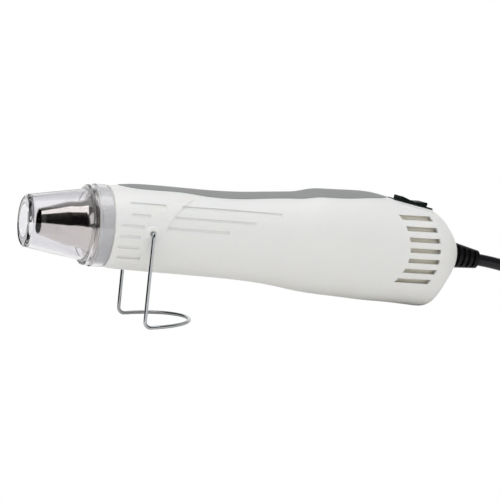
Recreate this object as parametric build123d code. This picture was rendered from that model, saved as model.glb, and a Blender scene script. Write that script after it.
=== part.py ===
from build123d import *
import math
import os

os.makedirs("parts", exist_ok=True)

# Driving sizes, millimetres and degrees.
# Inside this file the tool lies along X: its axis is the X axis, the guard's mouth is at X = 0,
# the cord leaves at the far end, and Z is up. At the end it is tipped nose up on to its stand.

overrun = 1.0
seat_gap = 0.3
running_gap = 0.05

# Clear guard
guard_length = 41.0
guard_mouth_radius = 8.25
guard_rim_radius = 12.8
guard_shoulder_radius = 18.0
guard_flange_radius = 20.1
guard_skirt_radius = 20.6
guard_flange_front = 30.6
guard_flange_width = 4.2
guard_wall = 1.4
guard_rim_round = 1.8
guard_edge_round = 0.5
guard_face = 2.2

# Metal nozzle
nozzle_mouth_x = 7.6
nozzle_mouth_radius = 6.55
nozzle_knee_x = 22.0
nozzle_knee_radius = 11.0
nozzle_neck_x = 27.0
nozzle_neck_radius = 11.5
nozzle_knee_round = 8.0
nozzle_flare_radius = 15.4
nozzle_flange_radius = 18.0
nozzle_wall = 0.6

# Casing
spigot_x = 34.0
spigot_wall = 2.0
spigot_gap = 0.1
body_x = 41.5
body_length = 189.5
heel_x = 213.0
neck_radius = 20.2
crown_height = 27.5
belly_depth = 30.1
body_half_width = 22.4
collar_top = 5.6
collar_bottom = 9.2
collar_half_width = 8.0
wall = 2.0
section_fullness_share = 0.575

# Swell of the casing from the neck to the heel: place along it, then top, underside and side,
# each as a share of the way from the neck's radius to the full size.
swell_shares = [
    (0.000, 0.00, 0.000, 0.00),
    (0.032, 0.10, 0.076, 0.18),
    (0.079, 0.205, 0.10, 0.34),
    (0.131, 0.233, 0.12, 0.42),
    (0.254, 0.20, 0.16, 0.50),
    (0.405, 0.247, 0.237, 0.56),
    (0.481, 0.384, 0.323, 0.63),
    (0.551, 0.52, 0.465, 0.72),
    (0.589, 0.63, 0.566, 0.79),
    (0.627, 0.85, 0.646, 0.87),
    (0.679, 0.945, 0.717, 0.94),
    (0.761, 1.00, 0.798, 1.00),
    (0.825, 0.96, 0.864, 1.00),
    (0.866, 0.79, 0.884, 1.00),
    (0.907, 0.60, 0.900, 0.94),
    (0.965, 0.38, 0.955, 0.72),
    (1.000, 0.25, 0.990, 0.45),
]
# The tail from the heel to the cord's collar: place along it, then top, underside and side,
# each as a share of the way from the collar back to the heel.
tail_shares = [
    (0.194, 0.933, 0.995, 0.955),
    (0.350, 0.854, 0.9375, 0.894),
    (0.483, 0.756, 0.808, 0.818),
    (0.622, 0.604, 0.596, 0.697),
    (0.756, 0.420, 0.385, 0.545),
    (0.878, 0.226, 0.1875, 0.348),
    (0.944, 0.110, 0.082, 0.197),
    (1.000, 0.000, 0.000, 0.000),
]

# Grey strip along the top
inlay_front_x = 46.4
inlay_rear_x = 191.8
inlay_half_width = 8.6
inlay_depth = 1.1
inlay_proud = 0.25
inlay_gap = 0.1
inlay_outline_shares = [
    (0.045, 0.80),
    (0.110, 0.95),
    (0.235, 0.97),
    (0.265, 1.05),
    (0.640, 1.12),
    (0.690, 1.20),
    (0.900, 1.12),
    (0.970, 0.72),
]

# Shallow grip grooves, the front set and the rear set: height, front end and rear end
groove_height = 1.7
groove_depth = 0.5
groove_rows = 6
groove_pitch = 5.25
groove_top = 13.4
front_groove_x = 45.0
front_groove_end_x = 54.5
front_groove_step_shares = [(0.45, 1.35), (0.5, 0.5), (0.0, 0.15), (-0.08, 0.0), (-0.1, 0.0), (0.0, 0.2)]
rear_groove_rows = 3
rear_groove_x = 68.0
rear_groove_end_x = 100.0
rear_groove_step = 14.2
rear_groove_start_step = 3.8

# Seam between the halves, and the raised band that sweeps up behind the front grooves
seam_half_width = 0.15
band_rise = 0.35
band_front = [(56.6, -16.5), (57.2, 0), (70.5, 15)]
band_rear = [(82, 17.6), (68.5, 5), (64.6, -16.5)]

# Vent slots, each side
vent_rows = 7
vent_pitch = 5.35
vent_height = 2.35
vent_top = 17.0
vent_front_x = 198.9
vent_front_bow = 7.0
vent_rear_x = 217.0
vent_rear_bow = 5.6
vent_bow_height = 18.5
vent_inner_half_width = 6.0

# Wire stand
pivot_x = 60.3
boss_radius = 3.6
boss_face = 22.2
boss_round = 0.5
boss_mouth = 0.7
wire_radius = 0.9
stand_side_gap = 0.3
stand_pin_length = 5.0
stand_top_bend = 1.5
stand_foot_bend = 3.0
stand_foot_straight = 3.1
rest_pitch = 6.47

# Rocker switch
switch_x = 205.2
switch_z = 22.9
switch_slope = 9.5
bezel_length = 21.0
bezel_width = 15.0
bezel_thickness = 0.9
bezel_round = 1.2
switch_length = 18.8
switch_width = 12.8
switch_depth = 12.0
switch_fit = 0.2
switch_pad_edge = 0.3
rocker_length = 15.4
rocker_width = 10.4
rocker_end_height = 3.1
rocker_dip_height = 1.7
rocker_pivot_drop = 2.0
rocker_foot_drop = 3.2
rocker_foot_length = 13.6
rocker_side_gap = 0.3
rocker_end_gap = 0.8
rocker_well_depth = 5.5
rocker_pin_radius = 1.1
rocker_pin_length = 0.7
rocker_round = 0.6
tab_width = 4.8
tab_thickness = 0.8
tab_length = 7.0
tab_pitch = 6.6

# Heater
sleeve_radius = 15.0
sleeve_wall = 0.6
sleeve_length = 56.0
former_radius = 11.8
former_thickness = 0.8
former_length = 46.0
former_x = 40.0
former_ear_length = 2.4
ribbon_width = 1.6
ribbon_thickness = 0.4
ribbon_gap = 0.15
ribbon_turns = 7
cutout_radius = 1.5
cutout_length = 9.0
cutout_x = 72.0
cutout_offset = 4.6

# Fan and motor
shroud_x = 129.0
shroud_length = 21.0
shroud_radius = 18.6
shroud_wall = 1.2
shroud_spokes = 4
spoke_width = 2.4
spoke_thickness = 2.0
motor_ring_radius = 8.0
motor_ring_bore = 3.4
motor_radius = 12.0
motor_length = 25.0
motor_nose_radius = 3.1
motor_nose_length = 1.6
motor_cap_length = 4.0
motor_cap_step = 0.4
motor_round = 1.0
shaft_radius = 1.0
shaft_nose_length = 16.5
shaft_seat_length = 17.5
fan_hub_radius = 4.6
fan_hub_length = 9.0
fan_hub_gap = 6.0
fan_tip_gap = 0.7
fan_blades = 7
fan_blade_thickness = 1.1
fan_blade_turn = 38.0
fan_tip_turn = 31.0
fan_blade_root = 0.4

# Board behind the motor
board_gap = 3.0
board_thickness = 1.6
board_half_width = 9.0
board_half_height = 9.5
diode_radius = 1.3
diode_length = 5.2
diode_pitch = 4.2
motor_tab_width = 2.4
motor_tab_thickness = 0.6
motor_tab_offset = 6.0

# Screws and posts
post_radius = 3.0
screw_radius = 1.1
screw_head_radius = 2.0
screw_head_height = 1.6
screw_clearance = 0.15
screw_depth = 9.0
screw_slot_width = 0.7
screw_slot_depth = 0.7
screw_bridge = 2.2
lower_post_inset = 2.4
upper_post_inset = 3.4
front_post_x = 101.0
rear_post_x = 190.0
nose_post_x = 66.0

# Ribs inside the casing
rib_thickness = 1.6
front_rib_x = 52.0
sleeve_rib_x = 87.0

# Strain relief and cord
boot_tilt = 6.0
boot_z = -1.9
boot_radius = 7.0
boot_end_radius = 4.8
boot_length = 16.3
boot_neck_radius = 5.4
boot_flange_radius = 6.6
boot_flange_thickness = 2.4
boot_collar_length = 2.6
boot_collar_radius = 5.1
boot_slots = 4
boot_slot_depth = 1.5
boot_slot_share = 0.45
boot_rail_share = 0.86
boot_round = 0.6
cord_radius = 3.2
stub_length = 13.0
clamp_width = 5.0
clamp_thickness = 2.4
clamp_reach = 7.0
clamp_foot = 3.8
clamp_screw_radius = 1.1
clamp_screw_depth = 6.0

# Cord lead on its way down, as steps from the boot's end: x, y, z
lead_steps = [(0, 0, 0), (16, 1.2, -3.55), (32.2, 8.5, -11.15), (45.4, 17, -16.3)]
lead_floor_run = 24.0
lead_reach = 87.5
cord_sides = 8
corner_run_share = 0.45

# Put-away cord: an oval hank in line with the tool, in three layers, in and out and in again
hank_run = 96.0
hank_radius = 26.2
hank_pitch = 7.0
hank_layers = 3
hank_layer_turns = 1.0
hank_climb_turns = 0.5
hank_swell_share = 0.17
hank_floor_gap = 0.05
hank_straight_angle = 0.05
hank_tie_width = 14.0
hank_tie_thickness = 1.2
hank_tie_gap = 0.15
hank_tie_side_gap = 0.7
hank_tie_offset = 32.0
# The cord's last stretch, as steps from the hank's end: x, y, z
tail_steps = [(0, 0, 0), (20, -0.4, 0.4), (40, -10.8, 11.0), (60, -11.2, 11.4)]

# Plug
plug_relief_length = 14.0
plug_relief_radius = 4.7
plug_relief_end_radius = 3.9
plug_relief_ribs = 4
plug_length = 36.0
plug_width = 35.3
plug_thickness = 13.6
plug_rear_width = 13.0
plug_waist_share = 0.16
plug_shoulder_share = 0.60
plug_side_round = 3.0
plug_edge_round = 2.0
plug_pin_radius = 2.0
plug_pin_length = 19.0
plug_pin_root = 6.0
plug_pin_root_radius = 1.7
plug_pin_spacing = 18.6
plug_pin_round = 0.8

# Places that follow from the sizes
tail_x = body_x + body_length
tail_over = (collar_top - boot_z) * math.tan(math.radians(boot_tilt))
spigot_radius = guard_skirt_radius - guard_wall - spigot_gap
spigot_bore = spigot_radius - spigot_wall
sleeve_bore = sleeve_radius + seat_gap
pin_hole_radius = wire_radius + running_gap
leg_y = boss_face + stand_side_gap + wire_radius
hank_mean_radius = hank_radius - hank_pitch * hank_layer_turns / 2
hank_run_share = hank_run / (hank_run + math.pi * hank_mean_radius) / 2
hank_floor = cord_radius + hank_floor_gap + hank_tie_thickness + hank_tie_gap
shroud_end_x = shroud_x + shroud_length
motor_x = shroud_end_x
motor_end_x = motor_x + motor_length
motor_cap_end_x = motor_end_x + motor_cap_length
board_x = motor_cap_end_x + board_gap
fan_radius = shroud_radius - shroud_wall - fan_tip_gap
fan_hub_x = motor_x - fan_hub_gap - fan_hub_length
switch_place = Location((switch_x, 0, switch_z), (0, switch_slope, 0))
boot_place = Location((tail_x, 0, boot_z), (0, boot_tilt, 0))


def lathe(points, rounds=()):
    """Turned solid about the X axis from (x, radius) points, some with a rounded corner."""
    outline = make_face(Polyline(*[(x, 0, r) for x, r in points], close=True))
    for (x, r), corner_radius in rounds:
        corner = outline.vertices().sort_by_distance((x, 0, r))[0]
        outline = fillet(corner, corner_radius)
    return revolve(outline, Axis.X, 360)


def rod(x, length, radius, y=0, z=0):
    """Round bar along X."""
    disc = Plane((x, y, z), x_dir=(0, 1, 0), z_dir=(1, 0, 0)) * Circle(radius)
    return extrude(disc, length)


def cross_rod(x, z, radius, y_from, y_to):
    """Round bar along Y."""
    disc = Plane((x, y_from, z), x_dir=(1, 0, 0), z_dir=(0, 1, 0)) * Circle(radius)
    return extrude(disc, y_to - y_from)


def block(x_range, y_range, z_range):
    """Box between two corners."""
    size = [high - low for low, high in (x_range, y_range, z_range)]
    corner = (x_range[0], y_range[0], z_range[0])
    return Pos(*corner) * Box(*size, align=(Align.MIN, Align.MIN, Align.MIN))


def between(low, high, share):
    return low + share * (high - low)


def section(x, top, bottom, side):
    """Half an oval across the casing, widest at the middle of its height, closed along Y = 0."""
    mid = (top - bottom) / 2
    up = top - mid
    down = bottom + mid
    k = section_fullness_share
    quarters = [
        [(0, top), (k * side, top), (side, mid + k * up), (side, mid)],
        [(side, mid), (side, mid - k * down), (k * side, -bottom), (0, -bottom)],
    ]
    edges = [Bezier(*[(x, y, z) for y, z in quarter]) for quarter in quarters]
    return make_face(edges + [Line((x, 0, -bottom), (x, 0, top))])


def casing_form(grow, front_x, tail_step):
    """The far half of the casing's outer form, grown or shrunk all round by one distance."""
    heel = [between(neck_radius, full, share) for full, share in
            zip((crown_height, belly_depth, body_half_width), swell_shares[-1][1:])]
    faces = []
    for along, *shares in swell_shares:
        x = between(front_x, heel_x, along)
        sizes = [between(neck_radius, full, share) + grow for full, share in
                 zip((crown_height, belly_depth, body_half_width), shares)]
        faces.append(section(x, *sizes))
    collar = (collar_top, collar_bottom, collar_half_width)
    for along, *shares in tail_shares:
        x = between(heel_x, tail_x + tail_over, along) + tail_step * along
        sizes = [between(small, full, share) + grow for small, full, share in
                 zip(collar, heel, shares)]
        faces.append(section(x, *sizes))
    return loft(faces)


def groove_bars():
    """Flat bars that lie where the grip grooves are, out through the casing's side."""
    bars = []
    half = groove_height / 2
    span = (body_half_width / 2, body_half_width + overrun)
    front_length = front_groove_end_x - front_groove_x
    for row, (start, end) in zip(range(groove_rows), front_groove_step_shares):
        z = groove_top - row * groove_pitch
        x_range = (front_groove_x + start * front_length, front_groove_end_x + end * front_length)
        bars.append(block(x_range, span, (z - half, z + half)))
    for row in range(rear_groove_rows):
        z = groove_top - row * groove_pitch
        steps = rear_groove_rows - 1 - row
        x_range = (rear_groove_x + steps * rear_groove_start_step,
                   rear_groove_end_x + steps * rear_groove_step)
        bars.append(block(x_range, span, (z - half, z + half)))
    return bars


def band_bar():
    """Side view of the raised band, out through the casing's side."""
    front = ThreePointArc(*[(x, 0, z) for x, z in band_front])
    rear = ThreePointArc(*[(x, 0, z) for x, z in band_rear])
    outline = make_face([front, Line(front @ 1, rear @ 0), rear, Line(rear @ 1, front @ 0)])
    return extrude(outline, body_half_width + overrun, dir=(0, 1, 0))


def vent_bars():
    """The seven slots of one row each, cut to length by two bowed ends."""
    low = vent_top - (vent_rows - 1) * vent_pitch
    mid = (vent_top + low) / 2
    reach = vent_bow_height
    front = ThreePointArc((vent_front_x - vent_front_bow, 0, mid - reach), (vent_front_x, 0, mid),
                          (vent_front_x - vent_front_bow, 0, mid + reach))
    rear = ThreePointArc((vent_rear_x - vent_rear_bow, 0, mid + reach), (vent_rear_x, 0, mid),
                         (vent_rear_x - vent_rear_bow, 0, mid - reach))
    sides = [Line(front @ 1, rear @ 0), Line(rear @ 1, front @ 0)]
    lens = make_face([front, sides[0], rear, sides[1]])
    outer = body_half_width + overrun
    half = vent_height / 2
    bars = []
    for row in range(vent_rows):
        z = vent_top - row * vent_pitch
        x_range = (vent_front_x - 2 * vent_front_bow, vent_rear_x + overrun)
        bar = block(x_range, (vent_inner_half_width, outer), (z - half, z + half))
        bars.append(bar & extrude(lens, outer + overrun, both=True))
    return bars


def inlay_outline(grow):
    """Plan of the grey strip: pointed ends, drawn-in front, wider over the fan."""
    length = inlay_rear_x - inlay_front_x
    half = [(inlay_front_x - grow, 0)]
    for along, width in inlay_outline_shares:
        half.append((inlay_front_x + along * length, width * inlay_half_width + grow))
    half.append((inlay_rear_x + grow, 0))
    upper = Spline(*half)
    lower = Spline(*[(x, -y) for x, y in reversed(half)])
    return extrude(make_face([upper, lower]), crown_height + overrun)


def post_places():
    """Where the casing's screws stand: x and height."""
    belly = -(belly_depth - wall)
    throat = -(sleeve_radius + seat_gap + post_radius)
    return [
        (nose_post_x, throat),
        (front_post_x, throat),
        (front_post_x + (shroud_x - front_post_x) / 2, neck_radius - wall - upper_post_inset),
        (rear_post_x, belly + post_radius + lower_post_inset),
        (rear_post_x, crown_height - wall - post_radius - upper_post_inset),
    ]


def clamp_posts():
    """Heights of the two posts beside the cord's inner end, and their place along X."""
    x = tail_x - boot_flange_thickness - wall - clamp_width
    return x, (boot_z + clamp_reach, boot_z - clamp_reach)


def ring_rib(x, bore):
    """Plate across the casing with a round seat in it."""
    half = belly_depth + overrun
    plate = block((x, x + rib_thickness), (-half, half), (-half, half))
    return plate - rod(x - overrun, rib_thickness + 2 * overrun, bore)


def casing_void():
    """The hollow inside the casing, less the ribs and posts that stand in it."""
    void = casing_form(-wall, body_x + wall, -wall)
    void -= ring_rib(front_rib_x, sleeve_bore)
    void -= ring_rib(sleeve_rib_x, sleeve_bore)
    void -= ring_rib(shroud_x + rib_thickness, shroud_radius + seat_gap)
    void -= ring_rib(shroud_end_x - 2 * rib_thickness, shroud_radius + seat_gap)
    reach = body_half_width + overrun
    for x, z in post_places():
        void -= cross_rod(x, z, post_radius, -overrun, reach)
    x, heights = clamp_posts()
    for z in heights:
        void -= cross_rod(x, z, clamp_foot / 2, -overrun, reach)
    return void - cross_rod(pivot_x, 0, boss_radius, sleeve_bore + wall, reach)


def make_housing():
    """One half of the casing, on the far side, without its screw holes."""
    form = casing_form(0, body_x, 0)
    form += band_bar() & casing_form(band_rise, body_x, 0)
    neck = rod(spigot_x, body_x - spigot_x + overrun, spigot_radius)
    form += neck & block((0, tail_x), (0, spigot_radius), (-spigot_radius, spigot_radius))
    pad = (bezel_length / 2 + switch_pad_edge, bezel_width / 2 + switch_pad_edge)
    form += switch_place * block((-pad[0], pad[0]), (0, pad[1]), (-switch_depth / 2, 0))
    form -= switch_place * block((-pad[0], pad[0]), (-overrun, pad[1]), (0, switch_depth))
    boss = cross_rod(pivot_x, 0, boss_radius, sleeve_bore, boss_face)
    form += fillet(boss.edges().sort_by(Axis.Y)[-1], boss_round)
    form -= casing_void()
    form -= rod(spigot_x + spigot_wall, body_x - spigot_x + wall, spigot_bore)
    form -= rod(spigot_x - overrun, body_x - spigot_x + wall, sleeve_bore)
    skin = casing_form(-groove_depth, body_x, 0)
    for bar in groove_bars():
        form -= bar - skin
    height = 2 * belly_depth
    form -= block((body_x, tail_x), (-overrun, seam_half_width), (-height, height)) - skin
    for bar in vent_bars():
        form -= bar
    bed = casing_form(-inlay_depth, body_x, 0)
    form -= inlay_outline(inlay_gap) - bed
    hole = (switch_length / 2 + switch_fit, switch_width / 2 + switch_fit)
    form -= switch_place * block((-hole[0], hole[0]), (-hole[1], hole[1]), (-switch_depth, overrun))
    form -= boot_place * rod(0, 2 * wall, 2 * collar_bottom)
    form -= boot_place * rod(-2 * wall, 3 * wall, boot_neck_radius + running_gap)
    flange_room = boot_flange_thickness + 3 * seat_gap
    form -= boot_place * rod(-wall - flange_room, flange_room, boot_flange_radius + seat_gap)
    form -= cross_rod(pivot_x, 0, pin_hole_radius, sleeve_bore, boss_face + overrun)
    cone = Cone(pin_hole_radius, pin_hole_radius + boss_mouth, boss_mouth,
                align=(Align.CENTER, Align.CENTER, Align.MAX))
    return form - Pos(pivot_x, boss_face, 0) * Rot(-90, 0, 0) * cone


def cut_screw_holes(right, left):
    """Screws come in from the far side: clearance and head seat there, pilot hole in the near half."""
    reach = body_half_width + overrun
    for x, z in post_places():
        right -= cross_rod(x, z, screw_radius + screw_clearance, -overrun, reach)
        right -= cross_rod(x, z, screw_head_radius + screw_clearance, screw_bridge, reach)
        left -= cross_rod(x, z, screw_radius, -screw_depth, overrun)
    room = casing_form(-wall, body_x + wall, -wall)
    x, heights = clamp_posts()
    for z in heights:
        left -= cross_rod(x, z, clamp_screw_radius, -clamp_screw_depth, overrun)
        right -= cross_rod(x, z, clamp_foot / 2, -overrun, reach) & room
    return right, left


def make_inlay():
    outer = casing_form(inlay_proud, body_x, 0)
    bed = casing_form(-inlay_depth, body_x, 0)
    far = (outer & inlay_outline(0)) - bed
    return far + mirror(far, Plane.XZ)


def make_guard():
    flange_end = guard_flange_front + guard_flange_width
    inner_skirt = guard_skirt_radius - guard_wall
    inner_flange = nozzle_flange_radius + 2 * seat_gap
    inner_shoulder = guard_shoulder_radius - guard_wall
    inner_rim = guard_rim_radius - guard_wall
    seat_x = spigot_x + running_gap
    rim, shoulder = (0, guard_rim_radius), (guard_flange_front, guard_shoulder_radius)
    flange, skirt = (guard_flange_front, guard_flange_radius), (guard_length, guard_skirt_radius)
    face, mouth = (guard_face, inner_rim), (0, guard_mouth_radius)
    points = [
        mouth, rim, shoulder, flange,
        (flange_end, guard_flange_radius), (flange_end, guard_skirt_radius), skirt,
        (guard_length, inner_skirt), (seat_x, inner_skirt), (seat_x, inner_flange),
        (guard_flange_front + guard_wall, inner_flange), (guard_flange_front, inner_shoulder),
        face, (guard_face, guard_mouth_radius),
    ]
    rounds = [(mouth, guard_edge_round), (rim, guard_rim_round), (shoulder, guard_edge_round),
              (flange, 2 * guard_edge_round), (skirt, guard_edge_round), (face, guard_wall),
              ((guard_face, guard_mouth_radius), guard_edge_round)]
    return lathe(points, rounds)


def make_nozzle():
    """Drawn sheet: a cone, a short neck, a flare and a flat flange, one wall thick."""
    front = spigot_x - nozzle_wall
    mouth, knee = (nozzle_mouth_x, 0, nozzle_mouth_radius), (nozzle_knee_x, 0, nozzle_knee_radius)
    neck, flare = (nozzle_neck_x, 0, nozzle_neck_radius), (front, 0, nozzle_flare_radius)
    cone = FilletPolyline(mouth, knee, neck, radius=nozzle_knee_round)
    bell = TangentArc(neck, flare, tangent=cone % 1)
    line = Wire(cone.edges() + [bell, Line(flare, (front, 0, nozzle_flange_radius))])
    sheet = line.offset_2d(nozzle_wall, side=Side.RIGHT)
    return revolve(make_face(sheet), Axis.X, 360)


def make_sleeve():
    x = spigot_x + running_gap
    return rod(x, sleeve_length, sleeve_radius) - rod(x - overrun, sleeve_length + 2 * overrun,
                                                      sleeve_radius - sleeve_wall)


def make_former():
    """Two mica boards crossed on the axis, wider at both ends where they stand in the sleeve."""
    end_x = former_x + former_length
    ear = sleeve_radius - sleeve_wall - seat_gap
    half = former_thickness / 2
    board = block((former_x, end_x), (-half, half), (-former_radius, former_radius))
    for x in (former_x, end_x - former_ear_length):
        board += block((x, x + former_ear_length), (-half, half), (-ear, ear))
    return board + Rot(90, 0, 0) * board


def make_winding():
    """Flat resistance ribbon wound in an open helix over the boards' edges."""
    radius = former_radius + ribbon_gap + ribbon_thickness / 2
    room = former_length - 2 * former_ear_length - 2 * ribbon_width
    start = former_x + former_ear_length + ribbon_width
    path = Pos(start, 0, 0) * Rot(0, 90, 0) * Helix(room / ribbon_turns, room, radius)
    begin = path @ 0
    profile = Plane(begin, x_dir=(1, 0, 0), z_dir=path % 0) * Rectangle(ribbon_width, ribbon_thickness)
    return sweep(profile, path=path, is_frenet=True)


def make_cutout():
    z = former_thickness / 2 + cutout_radius + running_gap
    return rod(cutout_x, cutout_length, cutout_radius, cutout_offset, z)


def make_shroud():
    """Ring round the fan with spokes behind it that carry the motor."""
    ring = rod(shroud_x, shroud_length, shroud_radius)
    ring -= rod(shroud_x - overrun, shroud_length + 2 * overrun, shroud_radius - shroud_wall)
    x = shroud_end_x - spoke_thickness
    hub = rod(x, spoke_thickness, motor_ring_radius)
    inner = motor_ring_radius - spoke_width / 2
    for index in range(shroud_spokes):
        spoke = block((x, shroud_end_x), (-spoke_width / 2, spoke_width / 2),
                      (inner, shroud_radius - shroud_wall / 2))
        hub += Rot(360 / shroud_spokes * index, 0, 0) * spoke
    ring += hub
    return ring - rod(x - overrun, spoke_thickness + 2 * overrun, motor_ring_bore)


def make_motor_can():
    can = rod(motor_x, motor_length, motor_radius)
    can = fillet(can.edges().group_by(Axis.X)[0], motor_round)
    can += rod(motor_x - motor_nose_length, motor_nose_length, motor_nose_radius)
    bore = overrun + motor_nose_length + shaft_seat_length + seat_gap
    return can - rod(motor_x - motor_nose_length - overrun, bore, shaft_radius + running_gap)


def make_motor_cap():
    cap = rod(motor_end_x, motor_cap_length, motor_radius - motor_cap_step)
    return chamfer(cap.edges().group_by(Axis.X)[-1], motor_round)


def make_motor_tabs():
    """Two flat tabs from the motor's cap into the board."""
    half = motor_tab_width / 2
    reach = board_gap + board_thickness
    tabs = []
    for side in (-1, 1):
        z = side * motor_tab_offset
        tabs.append(block((motor_cap_end_x, motor_cap_end_x + reach), (-half, half),
                          (z - motor_tab_thickness / 2, z + motor_tab_thickness / 2)))
    return tabs


def make_fan():
    """Axial fan: a round-nosed hub and twisted blades."""
    hub = rod(fan_hub_x, fan_hub_length, fan_hub_radius)
    hub = fillet(hub.edges().group_by(Axis.X)[0], fan_hub_radius / 3)
    root = fan_hub_radius - fan_blade_root
    half = fan_blade_thickness / 2
    chord = fan_hub_length - 2 * fan_blade_thickness
    mid_x = fan_hub_x + fan_hub_length / 2
    sections = []
    for radius, turn in ((root, fan_blade_turn), (fan_radius, fan_tip_turn)):
        place = Location((mid_x, 0, radius), (0, 0, turn))
        sections.append(place * Rectangle(chord / math.cos(math.radians(turn)), 2 * half))
    blade = loft(sections) & rod(fan_hub_x, fan_hub_length, fan_radius)
    for index in range(fan_blades):
        hub += Rot(360 / fan_blades * index, 0, 0) * blade
    return hub - rod(fan_hub_x - overrun, fan_hub_length + 2 * overrun, shaft_radius)


def make_board():
    board = block((board_x, board_x + board_thickness), (-board_half_width, board_half_width),
                  (-board_half_height, board_half_height))
    for tab in make_motor_tabs():
        board -= tab
    return board


def make_diodes():
    """Four rectifier diodes lying across the back of the board."""
    x = board_x + board_thickness + diode_radius
    diodes = []
    for index in range(4):
        z = (index - 1.5) * diode_pitch
        diodes.append(cross_rod(x, z, diode_radius, -diode_length / 2, diode_length / 2))
    return diodes


def rocker_outline():
    """Side view of the rocker: two raised ends and a dip between them."""
    end = rocker_length / 2
    foot = rocker_foot_length / 2
    points = [(-end, rocker_end_height), (0, rocker_dip_height), (end, rocker_end_height),
              (foot, -rocker_foot_drop), (-foot, -rocker_foot_drop)]
    return make_face(Polyline(*[(x, 0, z) for x, z in points], close=True))


def make_rocker():
    body = extrude(rocker_outline(), rocker_width / 2, both=True)
    ends = body.edges().filter_by(Axis.Y).group_by(Axis.Z)[-1]
    body = fillet(ends, rocker_round)
    reach = rocker_width / 2 + rocker_pin_length
    body += cross_rod(0, -rocker_pivot_drop, rocker_pin_radius, -reach, reach)
    return switch_place * body


def make_switch_body():
    bezel = extrude(RectangleRounded(bezel_length, bezel_width, bezel_round), bezel_thickness)
    bezel = chamfer(bezel.edges().group_by(Axis.Z)[-1], bezel_thickness / 3)
    half = (switch_length / 2, switch_width / 2)
    body = bezel + block((-half[0], half[0]), (-half[1], half[1]), (-switch_depth, 0))
    well = (rocker_length / 2 + rocker_end_gap, rocker_width / 2 + rocker_side_gap)
    body -= block((-well[0], well[0]), (-well[1], well[1]), (-rocker_well_depth, overrun + bezel_thickness))
    reach = rocker_width / 2 + rocker_pin_length + running_gap
    body -= cross_rod(0, -rocker_pivot_drop, rocker_pin_radius + running_gap, -reach, reach)
    return switch_place * body


def make_switch_tabs():
    tabs = []
    for index in (-1, 0, 1):
        x = index * tab_pitch
        tab = block((x - tab_thickness / 2, x + tab_thickness / 2), (-tab_width / 2, tab_width / 2),
                    (-switch_depth - tab_length, -switch_depth))
        tabs.append(switch_place * tab)
    return tabs


def make_boot():
    """Strain relief: flange and neck held in the casing, then a taper with slots in both sides."""
    inner = -wall - seat_gap
    tip = (boot_length, boot_end_radius)
    points = [(inner - boot_flange_thickness, 0), (inner - boot_flange_thickness, boot_flange_radius),
              (inner, boot_flange_radius), (inner, boot_neck_radius), (seat_gap, boot_neck_radius),
              (seat_gap, boot_radius), (boot_length - boot_collar_length, boot_collar_radius),
              tip, (boot_length, 0)]
    boot = lathe(points, [(tip, boot_round)])
    pitch = (boot_length - boot_collar_length - seat_gap) / boot_slots
    width = boot_slot_share * pitch
    for index in range(boot_slots):
        x = seat_gap + (index + 1) * pitch - width
        radius = between(boot_radius, boot_collar_radius, x / (boot_length - boot_collar_length))
        ring = rod(x, width, 2 * boot_radius) - rod(x - overrun, width + 2 * overrun,
                                                    radius - boot_slot_depth)
        rail = boot_rail_share * radius
        boot -= ring & block((x, x + width), (-2 * boot_radius, 2 * boot_radius), (-rail, rail))
    return boot_place * boot


def stub_place():
    return boot_place * Pos(-wall - seat_gap - boot_flange_thickness, 0, 0)


def make_cord_stub():
    return stub_place() * rod(-stub_length, stub_length, cord_radius)


def make_clamp():
    """Bar across the cord's inner end with a foot on each post."""
    x, heights = clamp_posts()
    half = clamp_width / 2
    top = cord_radius + running_gap
    foot = clamp_foot / 2
    reach = (heights[1] - foot, heights[0] + foot)
    clamp = block((x - half, x + half), (top, top + clamp_thickness), reach)
    for z in heights:
        clamp += block((x - half, x + half), (0, top + overrun), (z - foot, z + foot))
    for z in heights:
        clamp -= cross_rod(x, z, clamp_screw_radius + running_gap, -overrun, top + 2 * clamp_thickness)
    return clamp


def screw(x, z, radius, head_radius, head_y, tip_y):
    """Slotted screw along Y, head on the far side."""
    body = cross_rod(x, z, radius, tip_y, head_y)
    head = cross_rod(x, z, head_radius, head_y, head_y + screw_head_height)
    slot = block((x - screw_slot_width / 2, x + screw_slot_width / 2),
                 (head_y + screw_head_height - screw_slot_depth, head_y + screw_head_height + overrun),
                 (z - head_radius - overrun, z + head_radius + overrun))
    return body + (head - slot)


def make_housing_screws():
    return [screw(x, z, screw_radius - running_gap, screw_head_radius, screw_bridge,
                  -screw_depth + running_gap) for x, z in post_places()]


def make_clamp_screws():
    x, heights = clamp_posts()
    head_y = cord_radius + running_gap + clamp_thickness
    radius = clamp_screw_radius - running_gap
    return [screw(x, z, radius, 2 * radius, head_y, -clamp_screw_depth + running_gap) for z in heights]


def make_stand(pivot, leg_line):
    """Bent wire: a pin in each boss, two legs and a round foot flat on the floor."""
    inner = leg_y - stand_top_bend - stand_pin_length
    drop = (pivot.Z - wire_radius) / -leg_line.Z
    ankle = pivot + leg_line * drop
    toe_x = ankle.X + stand_foot_bend + stand_foot_straight

    def half(side):
        corners = [(pivot.X, side * inner, pivot.Z), (pivot.X, side * leg_y, pivot.Z),
                   (ankle.X, side * leg_y, wire_radius), (toe_x, side * leg_y, wire_radius)]
        return corners

    near = FilletPolyline(*half(-1), radius=[stand_top_bend, stand_foot_bend])
    bow = ThreePointArc((toe_x, -leg_y, wire_radius), (toe_x + leg_y, 0, wire_radius),
                        (toe_x, leg_y, wire_radius))
    far = FilletPolyline(*reversed(half(1)), radius=[stand_foot_bend, stand_top_bend])
    path = Wire(near.edges() + bow.edges() + far.edges())
    start = Plane((pivot.X, -inner, pivot.Z), x_dir=(1, 0, 0), z_dir=(0, -1, 0)) * Circle(wire_radius)
    return sweep(start, path=path)


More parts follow.
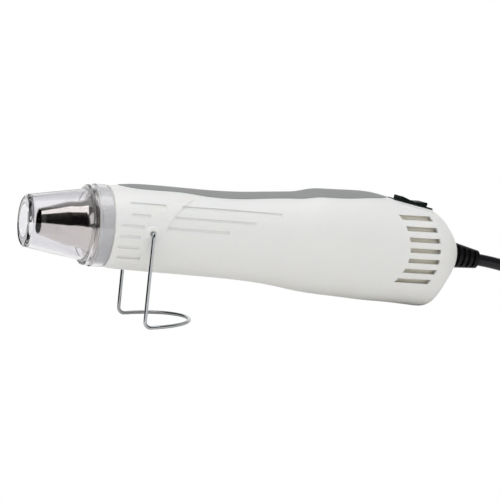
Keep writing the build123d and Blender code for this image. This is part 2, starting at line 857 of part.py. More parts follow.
def turn_at(points, index):
    before = Vector(*points[index]) - Vector(*points[index - 1])
    after = Vector(*points[index + 1]) - Vector(*points[index])
    return before.get_angle(after), min(before.length, after.length)


def cord_run(points, name):
    """Straight runs joined by arcs as large as the runs allow."""
    radii = []
    for index in range(1, len(points) - 1):
        turn, run = turn_at(points, index)
        radii.append(corner_run_share * run / math.tan(math.radians(turn / 2)))
    path = FilletPolyline(*points, radius=radii)
    disc = Plane(path @ 0, z_dir=path % 0) * Circle(cord_radius)
    tube = sweep(disc, path=path)
    share = tube.volume / (math.pi * cord_radius ** 2 * path.length)
    print(name, "length", round(path.length, 1), "least radius", round(min(radii), 1),
          "volume share", round(share, 4))
    return tube, path.length


def hank_place(at, centre):
    """A point on the hank's line after so many turns: two runs and two folds to a turn."""
    lap = hank_layer_turns + hank_climb_turns
    layer = min(int(at / lap), hank_layers - 1)
    within = at - layer * lap
    inner = hank_radius - hank_pitch * hank_layer_turns
    if within <= hank_layer_turns:
        level = layer
        drawn = hank_pitch * within
        radius = hank_radius - drawn if layer % 2 == 0 else inner + drawn
    else:
        share = (within - hank_layer_turns) / hank_climb_turns
        level = layer + (1 - math.cos(math.pi * share)) / 2
        swell = hank_swell_share * hank_pitch * math.sin(math.pi * share)
        radius = inner - swell if layer % 2 == 0 else hank_radius + swell
    along, side = at % 0.5, 1 if at % 1 < 0.5 else -1
    if along <= hank_run_share:
        x, y = between(-hank_run / 2, hank_run / 2, along / hank_run_share), radius
    else:
        angle = math.pi * (0.5 - (along - hank_run_share) / (0.5 - hank_run_share))
        x, y = hank_run / 2 + radius * math.cos(angle), radius * math.sin(angle)
    return centre + Vector(side * x, side * y, level * hank_pitch)


def hank_stop(at, centre):
    """A point on the hank's line, and which way the cord heads there."""
    total = hank_layers * hank_layer_turns + (hank_layers - 1) * hank_climb_turns
    step = 0.002
    before, after = hank_place(max(at - step, 0), centre), hank_place(min(at + step, total), centre)
    return hank_place(at, centre), (after - before).normalized()


def biarc(start, start_way, end, end_way):
    """Two arcs that leave one point and reach the next along the given directions."""
    gap = end - start
    if start_way.get_angle(gap) < hank_straight_angle:
        return [Line(start, end)]
    spread = 2 * (1 - start_way.dot(end_way))
    along = gap.dot(start_way + end_way)
    reach = gap.dot(gap) / (along + math.sqrt(along ** 2 + spread * gap.dot(gap)))
    joint = (start + end + (start_way - end_way) * reach) * 0.5
    first = TangentArc(start, joint, tangent=start_way)
    second = TangentArc(joint, end, tangent=first % 1)
    return [first, second]


def make_hank(centre):
    """The put-away cord, one unbroken faceted tube: a stop at each run's ends and each fold's tip."""
    total = hank_layers * hank_layer_turns + (hank_layers - 1) * hank_climb_turns
    marks = [half / 2 + share for half in range(round(2 * total))
             for share in (0, hank_run_share, between(hank_run_share, 0.5, 0.5))]
    stops = [hank_stop(mark, centre) for mark in marks + [total]]
    edges = []
    for (start, way), (end, end_way) in zip(stops, stops[1:]):
        edges += biarc(start, way, end, end_way)
    path = Wire([arc.edge() for arc in edges])
    begin, way = stops[0]
    profile = Plane(begin, x_dir=(0, 0, 1), z_dir=way) * RegularPolygon(cord_radius, cord_sides)
    tube = sweep(profile, path=path)
    samples = [(share, path @ share) for share in (index / 900 for index in range(901))]
    least = min((a - b).length for i, (s, a) in enumerate(samples) for t, b in samples[i + 1:]
                if (t - s) * path.length > 2 * hank_pitch)
    print("cord_hank length", round(path.length, 1), "least gap to itself",
          round(least - 2 * cord_radius, 2), "valid", tube.is_valid)
    return tube, stops[0], stops[-1], path.length


def make_tie(centre):
    """Flat strap round the whole hank, near its far end."""
    half = hank_radius + cord_radius + hank_tie_side_gap
    low = -cord_radius - hank_tie_gap
    high = (hank_layers - 1) * hank_pitch + cord_radius + hank_tie_gap
    plane = Plane(centre + Vector(hank_tie_offset, 0, (low + high) / 2), x_dir=(0, 1, 0), z_dir=(1, 0, 0))
    inner = RectangleRounded(2 * half, high - low, cord_radius)
    outer = offset(inner, hank_tie_thickness)
    return extrude(plane * (outer - inner), hank_tie_width / 2, both=True)


def make_plug():
    """Flat two-pin plug with a ribbed relief, and its pins; the cord comes in along X."""
    start = plug_relief_length
    end = start + plug_length
    half, rear = plug_width / 2, plug_rear_width / 2
    waist = start + plug_waist_share * plug_length
    shoulder = start + plug_shoulder_share * plug_length
    plan = [(start, rear), (waist, rear), (shoulder, half), (end, half)]
    outline = make_face(Polyline(*(plan + [(x, -y) for x, y in reversed(plan)]), close=True))
    body = extrude(outline, plug_thickness / 2, both=True)
    body = fillet(body.edges().filter_by(Axis.Z), plug_side_round)
    body = fillet(body.edges().group_by(Axis.Z)[-1] + body.edges().group_by(Axis.Z)[0], plug_edge_round)
    points = [(0, 0), (0, plug_relief_end_radius)]
    pitch = plug_relief_length / plug_relief_ribs
    groove = boot_slot_share * pitch
    drop = plug_relief_end_radius - cord_radius
    for index in range(plug_relief_ribs):
        x = (index + 1) * pitch - groove
        radius = between(plug_relief_end_radius, plug_relief_radius, x / plug_relief_length)
        points += [(x, radius), (x, radius - drop), (x + groove, radius - drop), (x + groove, radius)]
    points += [(start + overrun, plug_relief_radius), (start + overrun, 0)]
    body += lathe(points)
    pins = []
    for side in (-1, 1):
        y = side * plug_pin_spacing / 2
        pin = rod(end, plug_pin_length, plug_pin_radius, y)
        pin = fillet(pin.edges().group_by(Axis.X)[-1], plug_pin_round)
        pin += rod(end - plug_pin_root, plug_pin_root, plug_pin_root_radius, y)
        body -= rod(end - plug_pin_root, plug_pin_root + overrun, plug_pin_root_radius, y)
        pins.append(pin)
    return body, pins


def write(name, solids):
    shape = solids if not isinstance(solids, list) else Compound(children=solids)
    export_step(shape, f"parts/{name}.step")


# The tool lying on its axis
half_casing = make_housing()
housing_right, housing_left = cut_screw_holes(half_casing, mirror(half_casing, Plane.XZ))

tool = {
    "housing_left": housing_left,
    "housing_right": housing_right,
    "grip_inlay": make_inlay(),
    "nozzle_guard": make_guard(),
    "nozzle": make_nozzle(),
    "heater_sleeve": make_sleeve(),
    "heater_former": make_former(),
    "heater_winding": make_winding(),
    "thermal_cutout": make_cutout(),
    "fan_shroud": make_shroud(),
    "fan_impeller": make_fan(),
    "motor_shaft": rod(motor_x - shaft_nose_length, shaft_nose_length + shaft_seat_length, shaft_radius),
    "motor_can": make_motor_can(),
    "motor_cap": make_motor_cap(),
    "motor_tabs": make_motor_tabs(),
    "rectifier_board": make_board(),
    "diodes": make_diodes(),
    "switch_body": make_switch_body(),
    "switch_rocker": make_rocker(),
    "switch_tabs": make_switch_tabs(),
    "cord_boot": make_boot(),
    "cord_stub": make_cord_stub(),
    "cord_clamp": make_clamp(),
    "clamp_screws": make_clamp_screws(),
    "housing_screws": make_housing_screws(),
}


def moved(shape, place):
    return [place * item for item in shape] if isinstance(shape, list) else place * shape


# Nose up until the heel and the stand's foot share one floor, and the box's middle is the origin
tip = Rot(0, rest_pitch, 0)
tipped = {name: moved(shape, tip) for name, shape in tool.items()}
floor = min(tipped[name].bounding_box().min.Z for name in ("housing_left", "housing_right"))
low_x = tipped["nozzle_guard"].bounding_box().min.X
high_x = tipped["cord_boot"].bounding_box().max.X
settle = Pos(-(low_x + high_x) / 2, 0, -floor)
rest = settle * tip
parts = {name: moved(shape, settle) for name, shape in tipped.items()}

pivot = (rest * Pos(pivot_x, 0, 0)).position
leg_line = (rest * Pos(pivot_x, 0, -overrun)).position - pivot
parts["wire_stand"] = make_stand(pivot, leg_line.normalized())

boot_end = (rest * boot_place * Pos(boot_length, 0, 0)).position
hank_centre = Vector(boot_end.X + lead_reach + hank_run / 2, 0, hank_floor)
hank, (hank_start, hank_way), (hank_end, hank_end_way), hank_length = make_hank(hank_centre)
lead_points = [tuple(boot_end + Vector(*step)) for step in lead_steps]
lead_points += [tuple(hank_start - hank_way * lead_floor_run), tuple(hank_start)]
parts["cord_lead"], lead_length = cord_run(lead_points, "cord_lead")
parts["cord_hank"] = hank
parts["cord_tie"] = make_tie(hank_centre)
tail_points = [tuple(hank_end + Vector(*step)) for step in tail_steps]
parts["cord_tail"], tail_length = cord_run(tail_points, "cord_tail")
print("cord length", round(lead_length + hank_length + tail_length, 1))

last, before = Vector(*tail_points[-1]), Vector(*tail_points[-2])
heading = math.degrees(math.atan2(last.Y - before.Y, last.X - before.X))
plug_place = Pos(*last) * Rot(0, 0, heading)
plug_body, plug_pins = make_plug()
parts["plug_body"] = plug_place * plug_body
parts["plug_pins"] = moved(plug_pins, plug_place)

for name, shape in parts.items():
    write(name, shape)

print("pivot", pivot, "tool axis start", (rest * Pos(0, 0, 0)).position)
print("rocker pivot", (rest * switch_place * Pos(0, 0, -rocker_pivot_drop)).position)
print("fan axis", (rest * Pos(fan_hub_x, 0, 0)).position, "boot end", boot_end)
print("lead", lead_points, "tail", tail_points, "plug heading", round(heading, 2))
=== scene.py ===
# %% [markdown]
# # An embossing heat tool, dressed and lit
#
# The object is a small hand-held hot air tool. A white moulded casing holds a heater and a fan, a
# clear guard keeps fingers off the bright nozzle, a bent wire stand holds the nose up, and a black
# cord leaves the tail. Its solids come from a CAD program and are already in place, in metres.
# This lesson gives them their finishes, adds the flexible cord, and sets up camera and light.

import math

import bpy
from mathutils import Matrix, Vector
from mathutils.bvhtree import BVHTree


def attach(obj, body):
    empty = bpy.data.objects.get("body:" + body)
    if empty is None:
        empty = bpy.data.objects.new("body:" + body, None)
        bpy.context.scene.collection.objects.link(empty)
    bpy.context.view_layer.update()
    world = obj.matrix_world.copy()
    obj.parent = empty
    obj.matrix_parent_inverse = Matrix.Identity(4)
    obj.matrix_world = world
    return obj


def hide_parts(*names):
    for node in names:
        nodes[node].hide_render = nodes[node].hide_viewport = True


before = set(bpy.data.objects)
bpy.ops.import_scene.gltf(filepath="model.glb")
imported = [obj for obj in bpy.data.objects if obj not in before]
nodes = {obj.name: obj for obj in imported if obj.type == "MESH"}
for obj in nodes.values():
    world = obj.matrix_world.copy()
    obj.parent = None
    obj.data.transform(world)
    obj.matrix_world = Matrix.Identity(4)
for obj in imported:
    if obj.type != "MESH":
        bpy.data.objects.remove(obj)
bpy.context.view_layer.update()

# %% [markdown]
# ## Where the photographer stood
#
# The picture was taken with a long lens, low, from the nozzle's end of the near side. A camera can
# be aimed by hand or with a constraint. Here its place is worked out from two angles and a
# distance, because those three numbers were measured from the tool's outline and say what they
# mean.

# %% Camera
MM = 0.001
AZIMUTH = math.radians(-19.486)
ELEVATION = math.radians(8.04)
DISTANCE = 1.11404
AIM = Vector((-4.345, 0, 33.7)) * MM
LENS_IN_PIXELS = 2184.35
PHOTO_WIDTH = 500
SENSOR = 36


def direction(azimuth, elevation):
    """Unit vector from the object towards a viewer; azimuth 0 is a viewer on the near side."""
    flat = math.cos(elevation)
    return Vector((math.sin(azimuth) * flat, -math.cos(azimuth) * flat, math.sin(elevation)))


to_viewer = direction(AZIMUTH, ELEVATION)
camera_data = bpy.data.cameras.new("camera")
camera_data.sensor_width = SENSOR
camera_data.lens = LENS_IN_PIXELS / PHOTO_WIDTH * SENSOR
camera = bpy.data.objects.new("camera", camera_data)
bpy.context.collection.objects.link(camera)
camera.location = AIM + to_viewer * DISTANCE
camera.rotation_euler = to_viewer.to_track_quat("Z", "Y").to_euler()
bpy.context.scene.camera = camera
print("camera at", [round(v, 3) for v in camera.location], "lens", round(camera_data.lens, 1), "mm")

# %% [markdown]
# ## The cord
#
# The mains cord is a round rubber lead, 6.4 mm thick. It droops from the tail on to the table, and
# the rest is folded into a tied hank outside the picture, ending in its plug. A tube could be swept
# as a mesh, but a curve keeps its line editable: one smooth spline follows a few given points,
# then the runs and folds of the hank, and its bevel makes it round.

# %% Cord
CORD_RADIUS = 3.2
CORD_EXIT = Vector((122.789, 0, 22.698))
LEAD_STEPS = [(0, 0, 0), (16, 1.2, -3.55), (32.2, 8.5, -11.15), (45.4, 17, -16.3),
              (63.5, 26.7, -18.098)]
TAIL_STEPS = [(107.5, 18.8, -3.698), (127.5, 8.4, 6.902), (147.5, 8, 7.302)]
HANK_MIDDLE = CORD_EXIT + Vector((135.5, 0, -18.098))
HANK_RUN = 96
HANK_RADIUS = 26.2
HANK_PITCH = 7
HANK_LAYERS = 3
HANK_CLIMB_TURNS = 0.5
HANK_SWELL_SHARE = 0.17
FOLD_STEPS = 8


def hank_radius(turns):
    """How far from the hank's middle line the cord lies, and on which layer."""
    layer = min(int(turns / (1 + HANK_CLIMB_TURNS)), HANK_LAYERS - 1)
    within = turns - layer * (1 + HANK_CLIMB_TURNS)
    inwards = layer % 2 == 0
    if within <= 1:
        drawn = within if inwards else 1 - within
        return HANK_RADIUS - HANK_PITCH * drawn, layer
    climbed = math.pi * (within - 1) / HANK_CLIMB_TURNS
    swell = HANK_SWELL_SHARE * HANK_PITCH * math.sin(climbed)
    radius = HANK_RADIUS - HANK_PITCH - swell if inwards else HANK_RADIUS + swell
    return radius, layer + (1 - math.cos(climbed)) / 2


def half_turn(count):
    """Control points of one straight run and the fold after it."""
    side = 1 if count % 2 == 0 else -1
    run_share = HANK_RUN / (HANK_RUN + math.pi * (HANK_RADIUS - HANK_PITCH / 2))
    half_step = math.pi / FOLD_STEPS / 2
    marks = [(0, -HANK_RUN / 2, 1), (run_share, HANK_RUN / 2, -1)]
    points = []
    for share, end, inward in marks:
        radius, level = hank_radius((count + share) / 2)
        points.append((end + inward * radius * math.tan(half_step), radius, level))
    for step in range(FOLD_STEPS):
        share = run_share + (1 - run_share) * (step + 0.5) / FOLD_STEPS
        radius, level = hank_radius((count + share) / 2)
        # a smooth spline touches its control lines, so the points stand outside the fold
        radius /= math.cos(half_step)
        angle = math.pi / 2 - (2 * step + 1) * half_step
        points.append((HANK_RUN / 2 + radius * math.cos(angle), radius * math.sin(angle), level))
    return [HANK_MIDDLE + Vector((side * x, side * y, level * HANK_PITCH))
            for x, y, level in points]


def smooth_curve(name, points, radius):
    """A round tube along one smooth spline through millimetre points."""
    curve = bpy.data.curves.new(name, "CURVE")
    curve.dimensions = "3D"
    # each control point's own radius makes the tube, so the object's box grows by just that much
    curve.bevel_depth = 1
    curve.bevel_resolution = 6
    curve.resolution_u = 8
    curve.use_fill_caps = True
    spline = curve.splines.new("NURBS")
    spline.points.add(len(points) - 1)
    for control, point in zip(spline.points, points):
        control.co = (*(Vector(point) * MM), 1)
        control.radius = radius * MM
    spline.order_u = 3
    spline.use_endpoint_u = True
    piece = bpy.data.objects.new(name, curve)
    bpy.context.collection.objects.link(piece)
    return piece


half_turns = round(2 * (HANK_LAYERS + (HANK_LAYERS - 1) * HANK_CLIMB_TURNS))
hank = [point for count in range(half_turns) for point in half_turn(count)]
lead = [CORD_EXIT + Vector(step) for step in LEAD_STEPS]
tail = [CORD_EXIT + Vector(step) for step in TAIL_STEPS]
cord = smooth_curve("cord", lead + hank + tail, CORD_RADIUS)
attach(cord, "casing")
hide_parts("cord_lead", "cord_hank", "cord_tail")
print("cord points:", len(cord.data.splines[0].points))

# %% [markdown]
# ## The table
#
# The tool stands on plain white paper, here one large plane. The camera has to see it as pure white
# with no edge, yet it has to throw only as much light on the tool as real paper would. So its
# material glows for the rays that come from the camera, or from there through the guard, and is an
# ordinary matt surface for the rest. The three helpers below serve other materials too.

# %% Node helpers
def new_material(name):
    """An empty node material with its output, ready for more nodes."""
    material = bpy.data.materials.new(name)
    material.use_nodes = True
    tree = material.node_tree
    tree.nodes.clear()
    return material, tree, tree.nodes.new("ShaderNodeOutputMaterial")


def add_math(tree, operation, first, second, clamp=False):
    """Join two values by a Math node and return the result's socket."""
    node = tree.nodes.new("ShaderNodeMath")
    node.operation = operation
    node.use_clamp = clamp
    tree.links.new(first, node.inputs[0])
    tree.links.new(second, node.inputs[1])
    return node.outputs[0]


def add_blend(tree, factor, first, second, output):
    """Lead the output from first to second as the factor goes from 0 to 1."""
    blend = tree.nodes.new("ShaderNodeMixShader")
    tree.links.new(factor, blend.inputs["Fac"])
    tree.links.new(first.outputs[0], blend.inputs[1])
    tree.links.new(second.outputs[0], blend.inputs[2])
    tree.links.new(blend.outputs[0], output.inputs["Surface"])


# %% Table
SHEET_HALF = 6

sheet_mesh = bpy.data.meshes.new("table_sheet")
corners = [(-SHEET_HALF, -SHEET_HALF, 0), (SHEET_HALF, -SHEET_HALF, 0),
           (SHEET_HALF, SHEET_HALF, 0), (-SHEET_HALF, SHEET_HALF, 0)]
sheet_mesh.from_pydata(corners, [], [(0, 1, 2, 3)])
table_sheet = bpy.data.objects.new("table_sheet", sheet_mesh)
bpy.context.collection.objects.link(table_sheet)

paper, tree, output = new_material("white_paper")
lit = tree.nodes.new("ShaderNodeBsdfDiffuse")
lit.inputs["Color"].default_value = (0.91, 0.9, 0.88, 1)
glow = tree.nodes.new("ShaderNodeEmission")
glow.inputs["Strength"].default_value = 1
rays = tree.nodes.new("ShaderNodeLightPath")
seen = add_math(tree, "MAXIMUM", rays.outputs["Is Camera Ray"], rays.outputs["Is Transmission Ray"])
add_blend(tree, seen, lit, glow, output)
sheet_mesh.materials.append(paper)
print("table sheet", 2 * SHEET_HALF, "m wide")

# %% [markdown]
# ## Lamps
#
# The tool is lit as in a small photo studio. A point lamp would give hard edges to every shadow, so
# both lamps are squares of light: a wide one overhead, and a weaker one low on the nozzle's side.

# %% Lamps
scene = bpy.context.scene
scene.view_settings.view_transform = "Standard"


def softbox(name, azimuth, elevation, distance, size, power):
    """A square area lamp that faces the tool; distance and size are in metres, power in watts."""
    lamp_data = bpy.data.lights.new(name, "AREA")
    lamp_data.size = size
    lamp_data.energy = power
    lamp = bpy.data.objects.new(name, lamp_data)
    bpy.context.collection.objects.link(lamp)
    back = direction(math.radians(azimuth), math.radians(elevation))
    lamp.location = AIM + back * distance
    lamp.rotation_euler = back.to_track_quat("Z", "Y").to_euler()
    print(name, power, "W, at", [round(v, 2) for v in lamp.location])


softbox("softbox_above", azimuth=-10, elevation=78, distance=1.3, size=1.1, power=6.2)
softbox("softbox_side", azimuth=-65, elevation=28, distance=1.6, size=0.9, power=2.3)

# %% [markdown]
# ### The room
#
# An even world fills the shadows. Bright metal and clear plastic need more than that, because they
# show the room itself. So for mirror rays and rays through the guard the world is white behind the
# tool and dims towards the viewer. A ray that has already left a matt surface only carries light,
# and takes the even fill. What the camera itself sees of the world is white all round.

# %% World
WORLD_FILL = 0.69
BACKDROP_LEAST = 0.12
BACKDROP_EDGE = (0.5, 0.95)

world = bpy.data.worlds.new("studio")
scene.world = world
world.use_nodes = True
tree = world.node_tree
tree.nodes.clear()
output = tree.nodes.new("ShaderNodeOutputWorld")
fill = tree.nodes.new("ShaderNodeBackground")
fill.inputs["Strength"].default_value = WORLD_FILL
backdrop = tree.nodes.new("ShaderNodeBackground")
for background in (fill, backdrop):
    background.inputs["Color"].default_value = (1, 1, 1, 1)

# how far a ray's direction points away from the viewer, from -1 to 1
around = tree.nodes.new("ShaderNodeTexCoord")
facing = tree.nodes.new("ShaderNodeVectorMath")
facing.operation = "DOT_PRODUCT"
facing.inputs[1].default_value = -to_viewer
tree.links.new(around.outputs["Generated"], facing.inputs[0])
falloff = tree.nodes.new("ShaderNodeMapRange")
falloff.interpolation_type = "SMOOTHSTEP"
falloff.inputs["From Min"].default_value = BACKDROP_EDGE[0]
falloff.inputs["From Max"].default_value = BACKDROP_EDGE[1]
falloff.inputs["To Min"].default_value = BACKDROP_LEAST
tree.links.new(facing.outputs["Value"], falloff.inputs["Value"])

rays = tree.nodes.new("ShaderNodeLightPath")
bright = add_math(tree, "MAXIMUM", falloff.outputs["Result"], rays.outputs["Is Camera Ray"])
tree.links.new(bright, backdrop.inputs["Strength"])
seen = add_math(tree, "MAXIMUM", rays.outputs["Is Camera Ray"], rays.outputs["Is Transmission Ray"])
seen = add_math(tree, "MAXIMUM", seen, rays.outputs["Is Glossy Ray"])
direct = add_math(tree, "SUBTRACT", seen, rays.outputs["Diffuse Depth"], clamp=True)
add_blend(tree, direct, fill, backdrop, output)
print("world fill", WORLD_FILL, "and a backdrop that dims to", BACKDROP_LEAST)

# %% [markdown]
# ### Black cards
#
# Bright metal shows whatever stands round it. In an all-white room it would look like paper, so a
# photographer hangs black cards out of the picture. A tall one near the lens gives the nozzle its
# dark band, and it ends where the nozzle's flare shows the side lamp. A low one beside the stand
# gives the wire a dark edge. Both are hidden from the camera and cast no shadow, and a ray that has
# left a matt surface passes through them.

# %% Black cards
CARD_STEPS = 24
STAND_MIDDLE = Vector((-60, 0, 24)) * MM

card_black, tree, output = new_material("card_black")
dull = tree.nodes.new("ShaderNodeBsdfDiffuse")
dull.inputs["Color"].default_value = (0.004, 0.004, 0.004, 1)
clear = tree.nodes.new("ShaderNodeBsdfTransparent")
rays = tree.nodes.new("ShaderNodeLightPath")
add_blend(tree, rays.outputs["Diffuse Depth"], dull, clear, output)


def hang_card(name, middle, distance, left, right, low, high):
    """A curved card round a point; left and right are degrees from the camera's direction."""
    edge = []
    for i in range(CARD_STEPS + 1):
        turn = math.radians(left + (right - left) * i / CARD_STEPS)
        for height in (low, high):
            edge.append(middle + direction(AZIMUTH + turn, math.radians(height)) * distance)
    faces = [(i, i + 2, i + 3, i + 1) for i in range(0, 2 * CARD_STEPS, 2)]
    mesh = bpy.data.meshes.new(name)
    mesh.from_pydata(edge, [], faces)
    mesh.materials.append(card_black)
    card = bpy.data.objects.new(name, mesh)
    bpy.context.collection.objects.link(card)
    card.visible_camera = False
    card.visible_diffuse = False
    card.visible_shadow = False
    print(name, right - left, "degrees wide,", distance, "m away")
    return card


hang_card("tall_card", AIM, distance=0.9, left=-22, right=42, low=-2, high=64)
low_card = hang_card("low_card", STAND_MIDDLE, distance=0.1, left=-150, right=-14, low=-13, high=14)
low_card.visible_transmission = False

# %% [markdown]
# ## Finishes
#
# Every surface is made from one shader, the Principled BSDF, and gets its life from noise: a broad
# noise shifts the colour a little, a finer one the roughness, and the finest makes a shallow bump,
# the grain that a mould leaves. A picture wrapped round the part could do the same, but noise has
# no seams and stays sharp at any distance.

# %% Finish helper
def finish(name, colour, roughness, tint=None, patch=0.02, rough_span=0.06, grain=0.0006,
           grain_depth=0.00001, stretch=(1, 1, 1), **sockets):
    """A material with patches of two near colours, uneven roughness and a fine grain.

    patch and grain are sizes in metres, and grain_depth is how deep the grain is cut. Any other
    keyword sets the shader's input of that name, with spaces for its underscores."""
    material, tree, output = new_material(name)
    shader = tree.nodes.new("ShaderNodeBsdfPrincipled")
    tree.links.new(shader.outputs["BSDF"], output.inputs["Surface"])
    place = tree.nodes.new("ShaderNodeTexCoord")
    scaled = tree.nodes.new("ShaderNodeMapping")
    scaled.inputs["Scale"].default_value = stretch
    tree.links.new(place.outputs["Object"], scaled.inputs["Vector"])

    def noise(size, detail):
        made = tree.nodes.new("ShaderNodeTexNoise")
        made.inputs["Scale"].default_value = 1 / size
        made.inputs["Detail"].default_value = detail
        tree.links.new(scaled.outputs["Vector"], made.inputs["Vector"])
        return made.outputs["Fac"]

    mix = tree.nodes.new("ShaderNodeMix")
    mix.data_type = "RGBA"
    mix.inputs["A"].default_value = (*colour, 1)
    mix.inputs["B"].default_value = (*(tint or colour), 1)
    tree.links.new(noise(patch, 2), mix.inputs["Factor"])
    tree.links.new(mix.outputs["Result"], shader.inputs["Base Color"])
    span = tree.nodes.new("ShaderNodeMapRange")
    span.inputs["To Min"].default_value = max(roughness - rough_span, 0)
    span.inputs["To Max"].default_value = roughness + rough_span
    tree.links.new(noise(patch / 4, 4), span.inputs["Value"])
    tree.links.new(span.outputs["Result"], shader.inputs["Roughness"])
    bump = tree.nodes.new("ShaderNodeBump")
    bump.inputs["Distance"].default_value = grain_depth
    tree.links.new(noise(grain, 3), bump.inputs["Height"])
    tree.links.new(bump.outputs["Normal"], shader.inputs["Normal"])
    for socket, value in sockets.items():
        shader.inputs[socket.replace("_", " ")].default_value = value
    return material


def dress(material, *names):
    """Put one finish on the named solids."""
    for name in names:
        nodes[name].data.materials.clear()
        nodes[name].data.materials.append(material)
    print(material.name, "on", ", ".join(names))


# %% [markdown]
# ### White casing and grey grip
#
# The casing is satin white plastic with a very fine grain. A little light passes into it and comes
# out again, which softens the shadows in the grooves and warms the hollow behind the vents. The
# long strip on top is a soft grey grip, duller and with a coarser grain.

# %% Casing and grip
casing_white = finish("casing_white", (0.84, 0.84, 0.825), 0.38, tint=(0.81, 0.81, 0.795),
                      patch=0.03, grain=0.0005, Subsurface_Weight=0.25, Subsurface_Scale=0.004,
                      Subsurface_Radius=(1.0, 0.8, 0.55), Specular_IOR_Level=0.45)
dress(casing_white, "housing_left", "housing_right")
grip_grey = finish("grip_grey", (0.31, 0.318, 0.318), 0.62, tint=(0.28, 0.288, 0.288), patch=0.01,
                   grain=0.0004, grain_depth=0.00002)
dress(grip_grey, "grip_inlay")

# %% [markdown]
# ### A pale wall behind the vents, its colour painted light
#
# Through the slots the eye meets a pale inner wall, not the dark works. Its cream colour is painted
# light: it is set paler than such a wall would be, to stand in for the light that comes in through
# the slots and through the casing. A flat card would show gaps at the curved rear, so each liner is
# a small grid whose points are found by casting rays at the casing: every point lies a set depth
# behind the rib that the ray meets.

# %% Vent liners
NOSE = Vector((-122.441, 0, 54.1352))
TILT = math.radians(6.47)
RIB_TOP = 18.7
RIB_PITCH = 5.2
RIB_COUNT = 8
LINER_FRONT = 186
LINER_REAR = 217.6
LINER_COLUMNS = 13
LINER_DEPTH = 3.5
CAST_FROM = 60


def tool_point(along, side, height):
    """A point in the tool's own directions: along its axis from the nose, sideways and up."""
    return NOSE + Vector((math.cos(TILT) * along + math.sin(TILT) * height, side,
                          math.cos(TILT) * height - math.sin(TILT) * along))


def vent_liner(name, housing, side):
    """Sheet behind one half's slots, its rows behind the ribs between them; its pale colour is
    painted light.
    """
    skin = BVHTree.FromObject(housing, bpy.context.evaluated_depsgraph_get())
    step = (LINER_REAR - LINER_FRONT) / (LINER_COLUMNS - 1)
    points = []
    for row in range(RIB_COUNT):
        for column in range(LINER_COLUMNS):
            along, height = LINER_FRONT + column * step, RIB_TOP - row * RIB_PITCH
            start = tool_point(along, side * CAST_FROM, height)
            hit = skin.ray_cast(start * MM, Vector((0, -side, 0)), CAST_FROM * MM)[0]
            reach = max(abs(hit.y) / MM - LINER_DEPTH, 0)
            points.append(tool_point(along, side * reach, height) * MM)
    faces = [(a, a + 1, a + 1 + LINER_COLUMNS, a + LINER_COLUMNS)
             for row in range(RIB_COUNT - 1)
             for a in range(row * LINER_COLUMNS, row * LINER_COLUMNS + LINER_COLUMNS - 1)]
    mesh = bpy.data.meshes.new(name)
    mesh.from_pydata(points, [], faces)
    mesh.shade_smooth()
    piece = bpy.data.objects.new(name, mesh)
    bpy.context.collection.objects.link(piece)
    rounded = piece.modifiers.new("rounded", "SUBSURF")
    rounded.levels = rounded.render_levels = 2
    mesh.materials.append(liner_painted_light)
    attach(piece, "casing")
    print(name, "points:", len(points))


# painted light: the liner's cream colour is set pale to stand in for the light let in by the slots
liner_painted_light = finish("liner_painted_light", (0.92, 0.89, 0.79), 0.5, tint=(0.88, 0.84, 0.72), patch=0.008)
vent_liner("vent_liner_near", nodes["housing_left"], -1)
vent_liner("vent_liner_far", nodes["housing_right"], 1)

# %% [markdown]
# ### Clear guard and bright nozzle
#
# The guard is clear moulded plastic, so light bends as it enters and leaves each wall; the solid
# has both its walls, and the shader does the rest. The nozzle is drawn metal, polished almost to
# a mirror, with faint rings from the tool that formed it.

# %% Guard and nozzle
guard_clear = finish("guard_clear", (0.872, 0.865, 0.887), 0.03, rough_span=0.01, grain=0.004,
                     grain_depth=0.00002, Transmission_Weight=1.0, IOR=1.49)
dress(guard_clear, "nozzle_guard")
nodes["nozzle_guard"].visible_shadow = False
nozzle_bright = finish("nozzle_bright", (0.75, 0.72, 0.685), 0.09, tint=(0.69, 0.65, 0.605),
                       patch=0.012, rough_span=0.03, grain=0.002, grain_depth=0.000004,
                       stretch=(6, 1, 1), Metallic=1.0)
dress(nozzle_bright, "nozzle")

# %% [markdown]
# ### Wire, switch, rubber and plug
#
# The stand is bright zinc-plated wire. The rocker switch and its frame are glossy black plastic,
# and the cord, its strain relief and the plug are black rubber with a duller skin.

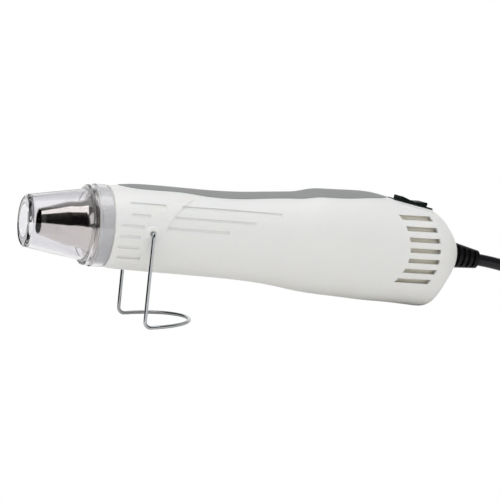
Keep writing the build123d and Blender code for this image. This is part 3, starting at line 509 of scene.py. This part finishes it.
# %% Wire and black pieces
wire_zinc = finish("wire_zinc", (0.54, 0.56, 0.59), 0.12, tint=(0.46, 0.48, 0.51), patch=0.004,
                   grain=0.0008, Metallic=1.0)
dress(wire_zinc, "wire_stand")
switch_black = finish("switch_black", (0.009, 0.012, 0.011), 0.45, tint=(0.010, 0.019, 0.016),
                      patch=0.005, Specular_IOR_Level=0.05)
dress(switch_black, "switch_body", "switch_rocker")
rubber_black = finish("rubber_black", (0.004, 0.0045, 0.005), 0.4, tint=(0.007, 0.007, 0.008),
                      patch=0.01, grain=0.0006, grain_depth=0.00002, Specular_IOR_Level=0.16)
dress(rubber_black, "cord_boot", "plug_body", "cord_stub")
cord_skin = finish("cord_skin", (0.006, 0.006, 0.008), 0.24, tint=(0.009, 0.009, 0.011), patch=0.02,
                   Specular_IOR_Level=0.3)
cord.data.materials.append(cord_skin)
tie_black = finish("tie_black", (0.02, 0.02, 0.022), 0.55, tint=(0.028, 0.028, 0.03), patch=0.004,
                   grain=0.0005, grain_depth=0.00003)
dress(tie_black, "cord_tie")
pin_nickel = finish("pin_nickel", (0.72, 0.7, 0.66), 0.16, patch=0.004, Metallic=1.0)
dress(pin_nickel, "plug_pins")

# %% [markdown]
# ### Works inside
#
# The heater, fan, motor and board are out of sight, but a library part is also looked at taken
# apart, so each has its own finish.

# %% Works inside
mica = finish("mica", (0.6, 0.52, 0.38), 0.5, tint=(0.45, 0.37, 0.25), patch=0.003, grain=0.0004,
              grain_depth=0.00003)
dress(mica, "heater_sleeve", "heater_former")
ribbon = finish("ribbon", (0.4, 0.38, 0.36), 0.35, tint=(0.3, 0.27, 0.25), patch=0.004,
                Metallic=1.0)
dress(ribbon, "heater_winding")
steel = finish("steel", (0.56, 0.57, 0.58), 0.28, tint=(0.5, 0.51, 0.52), patch=0.006, Metallic=1.0)
dress(steel, "motor_can", "motor_shaft", "thermal_cutout", "clamp_screws", "housing_screws")
inner_black = finish("inner_black", (0.03, 0.03, 0.032), 0.45, tint=(0.04, 0.04, 0.042), patch=0.01)
dress(inner_black, "fan_shroud", "fan_impeller", "motor_cap", "cord_clamp", "diodes")
board_green = finish("board_green", (0.07, 0.16, 0.06), 0.4, tint=(0.09, 0.19, 0.07), patch=0.002)
dress(board_green, "rectifier_board")
brass = finish("brass", (0.7, 0.56, 0.28), 0.25, tint=(0.6, 0.48, 0.24), patch=0.003, Metallic=1.0)
dress(brass, "motor_tabs", "switch_tabs")
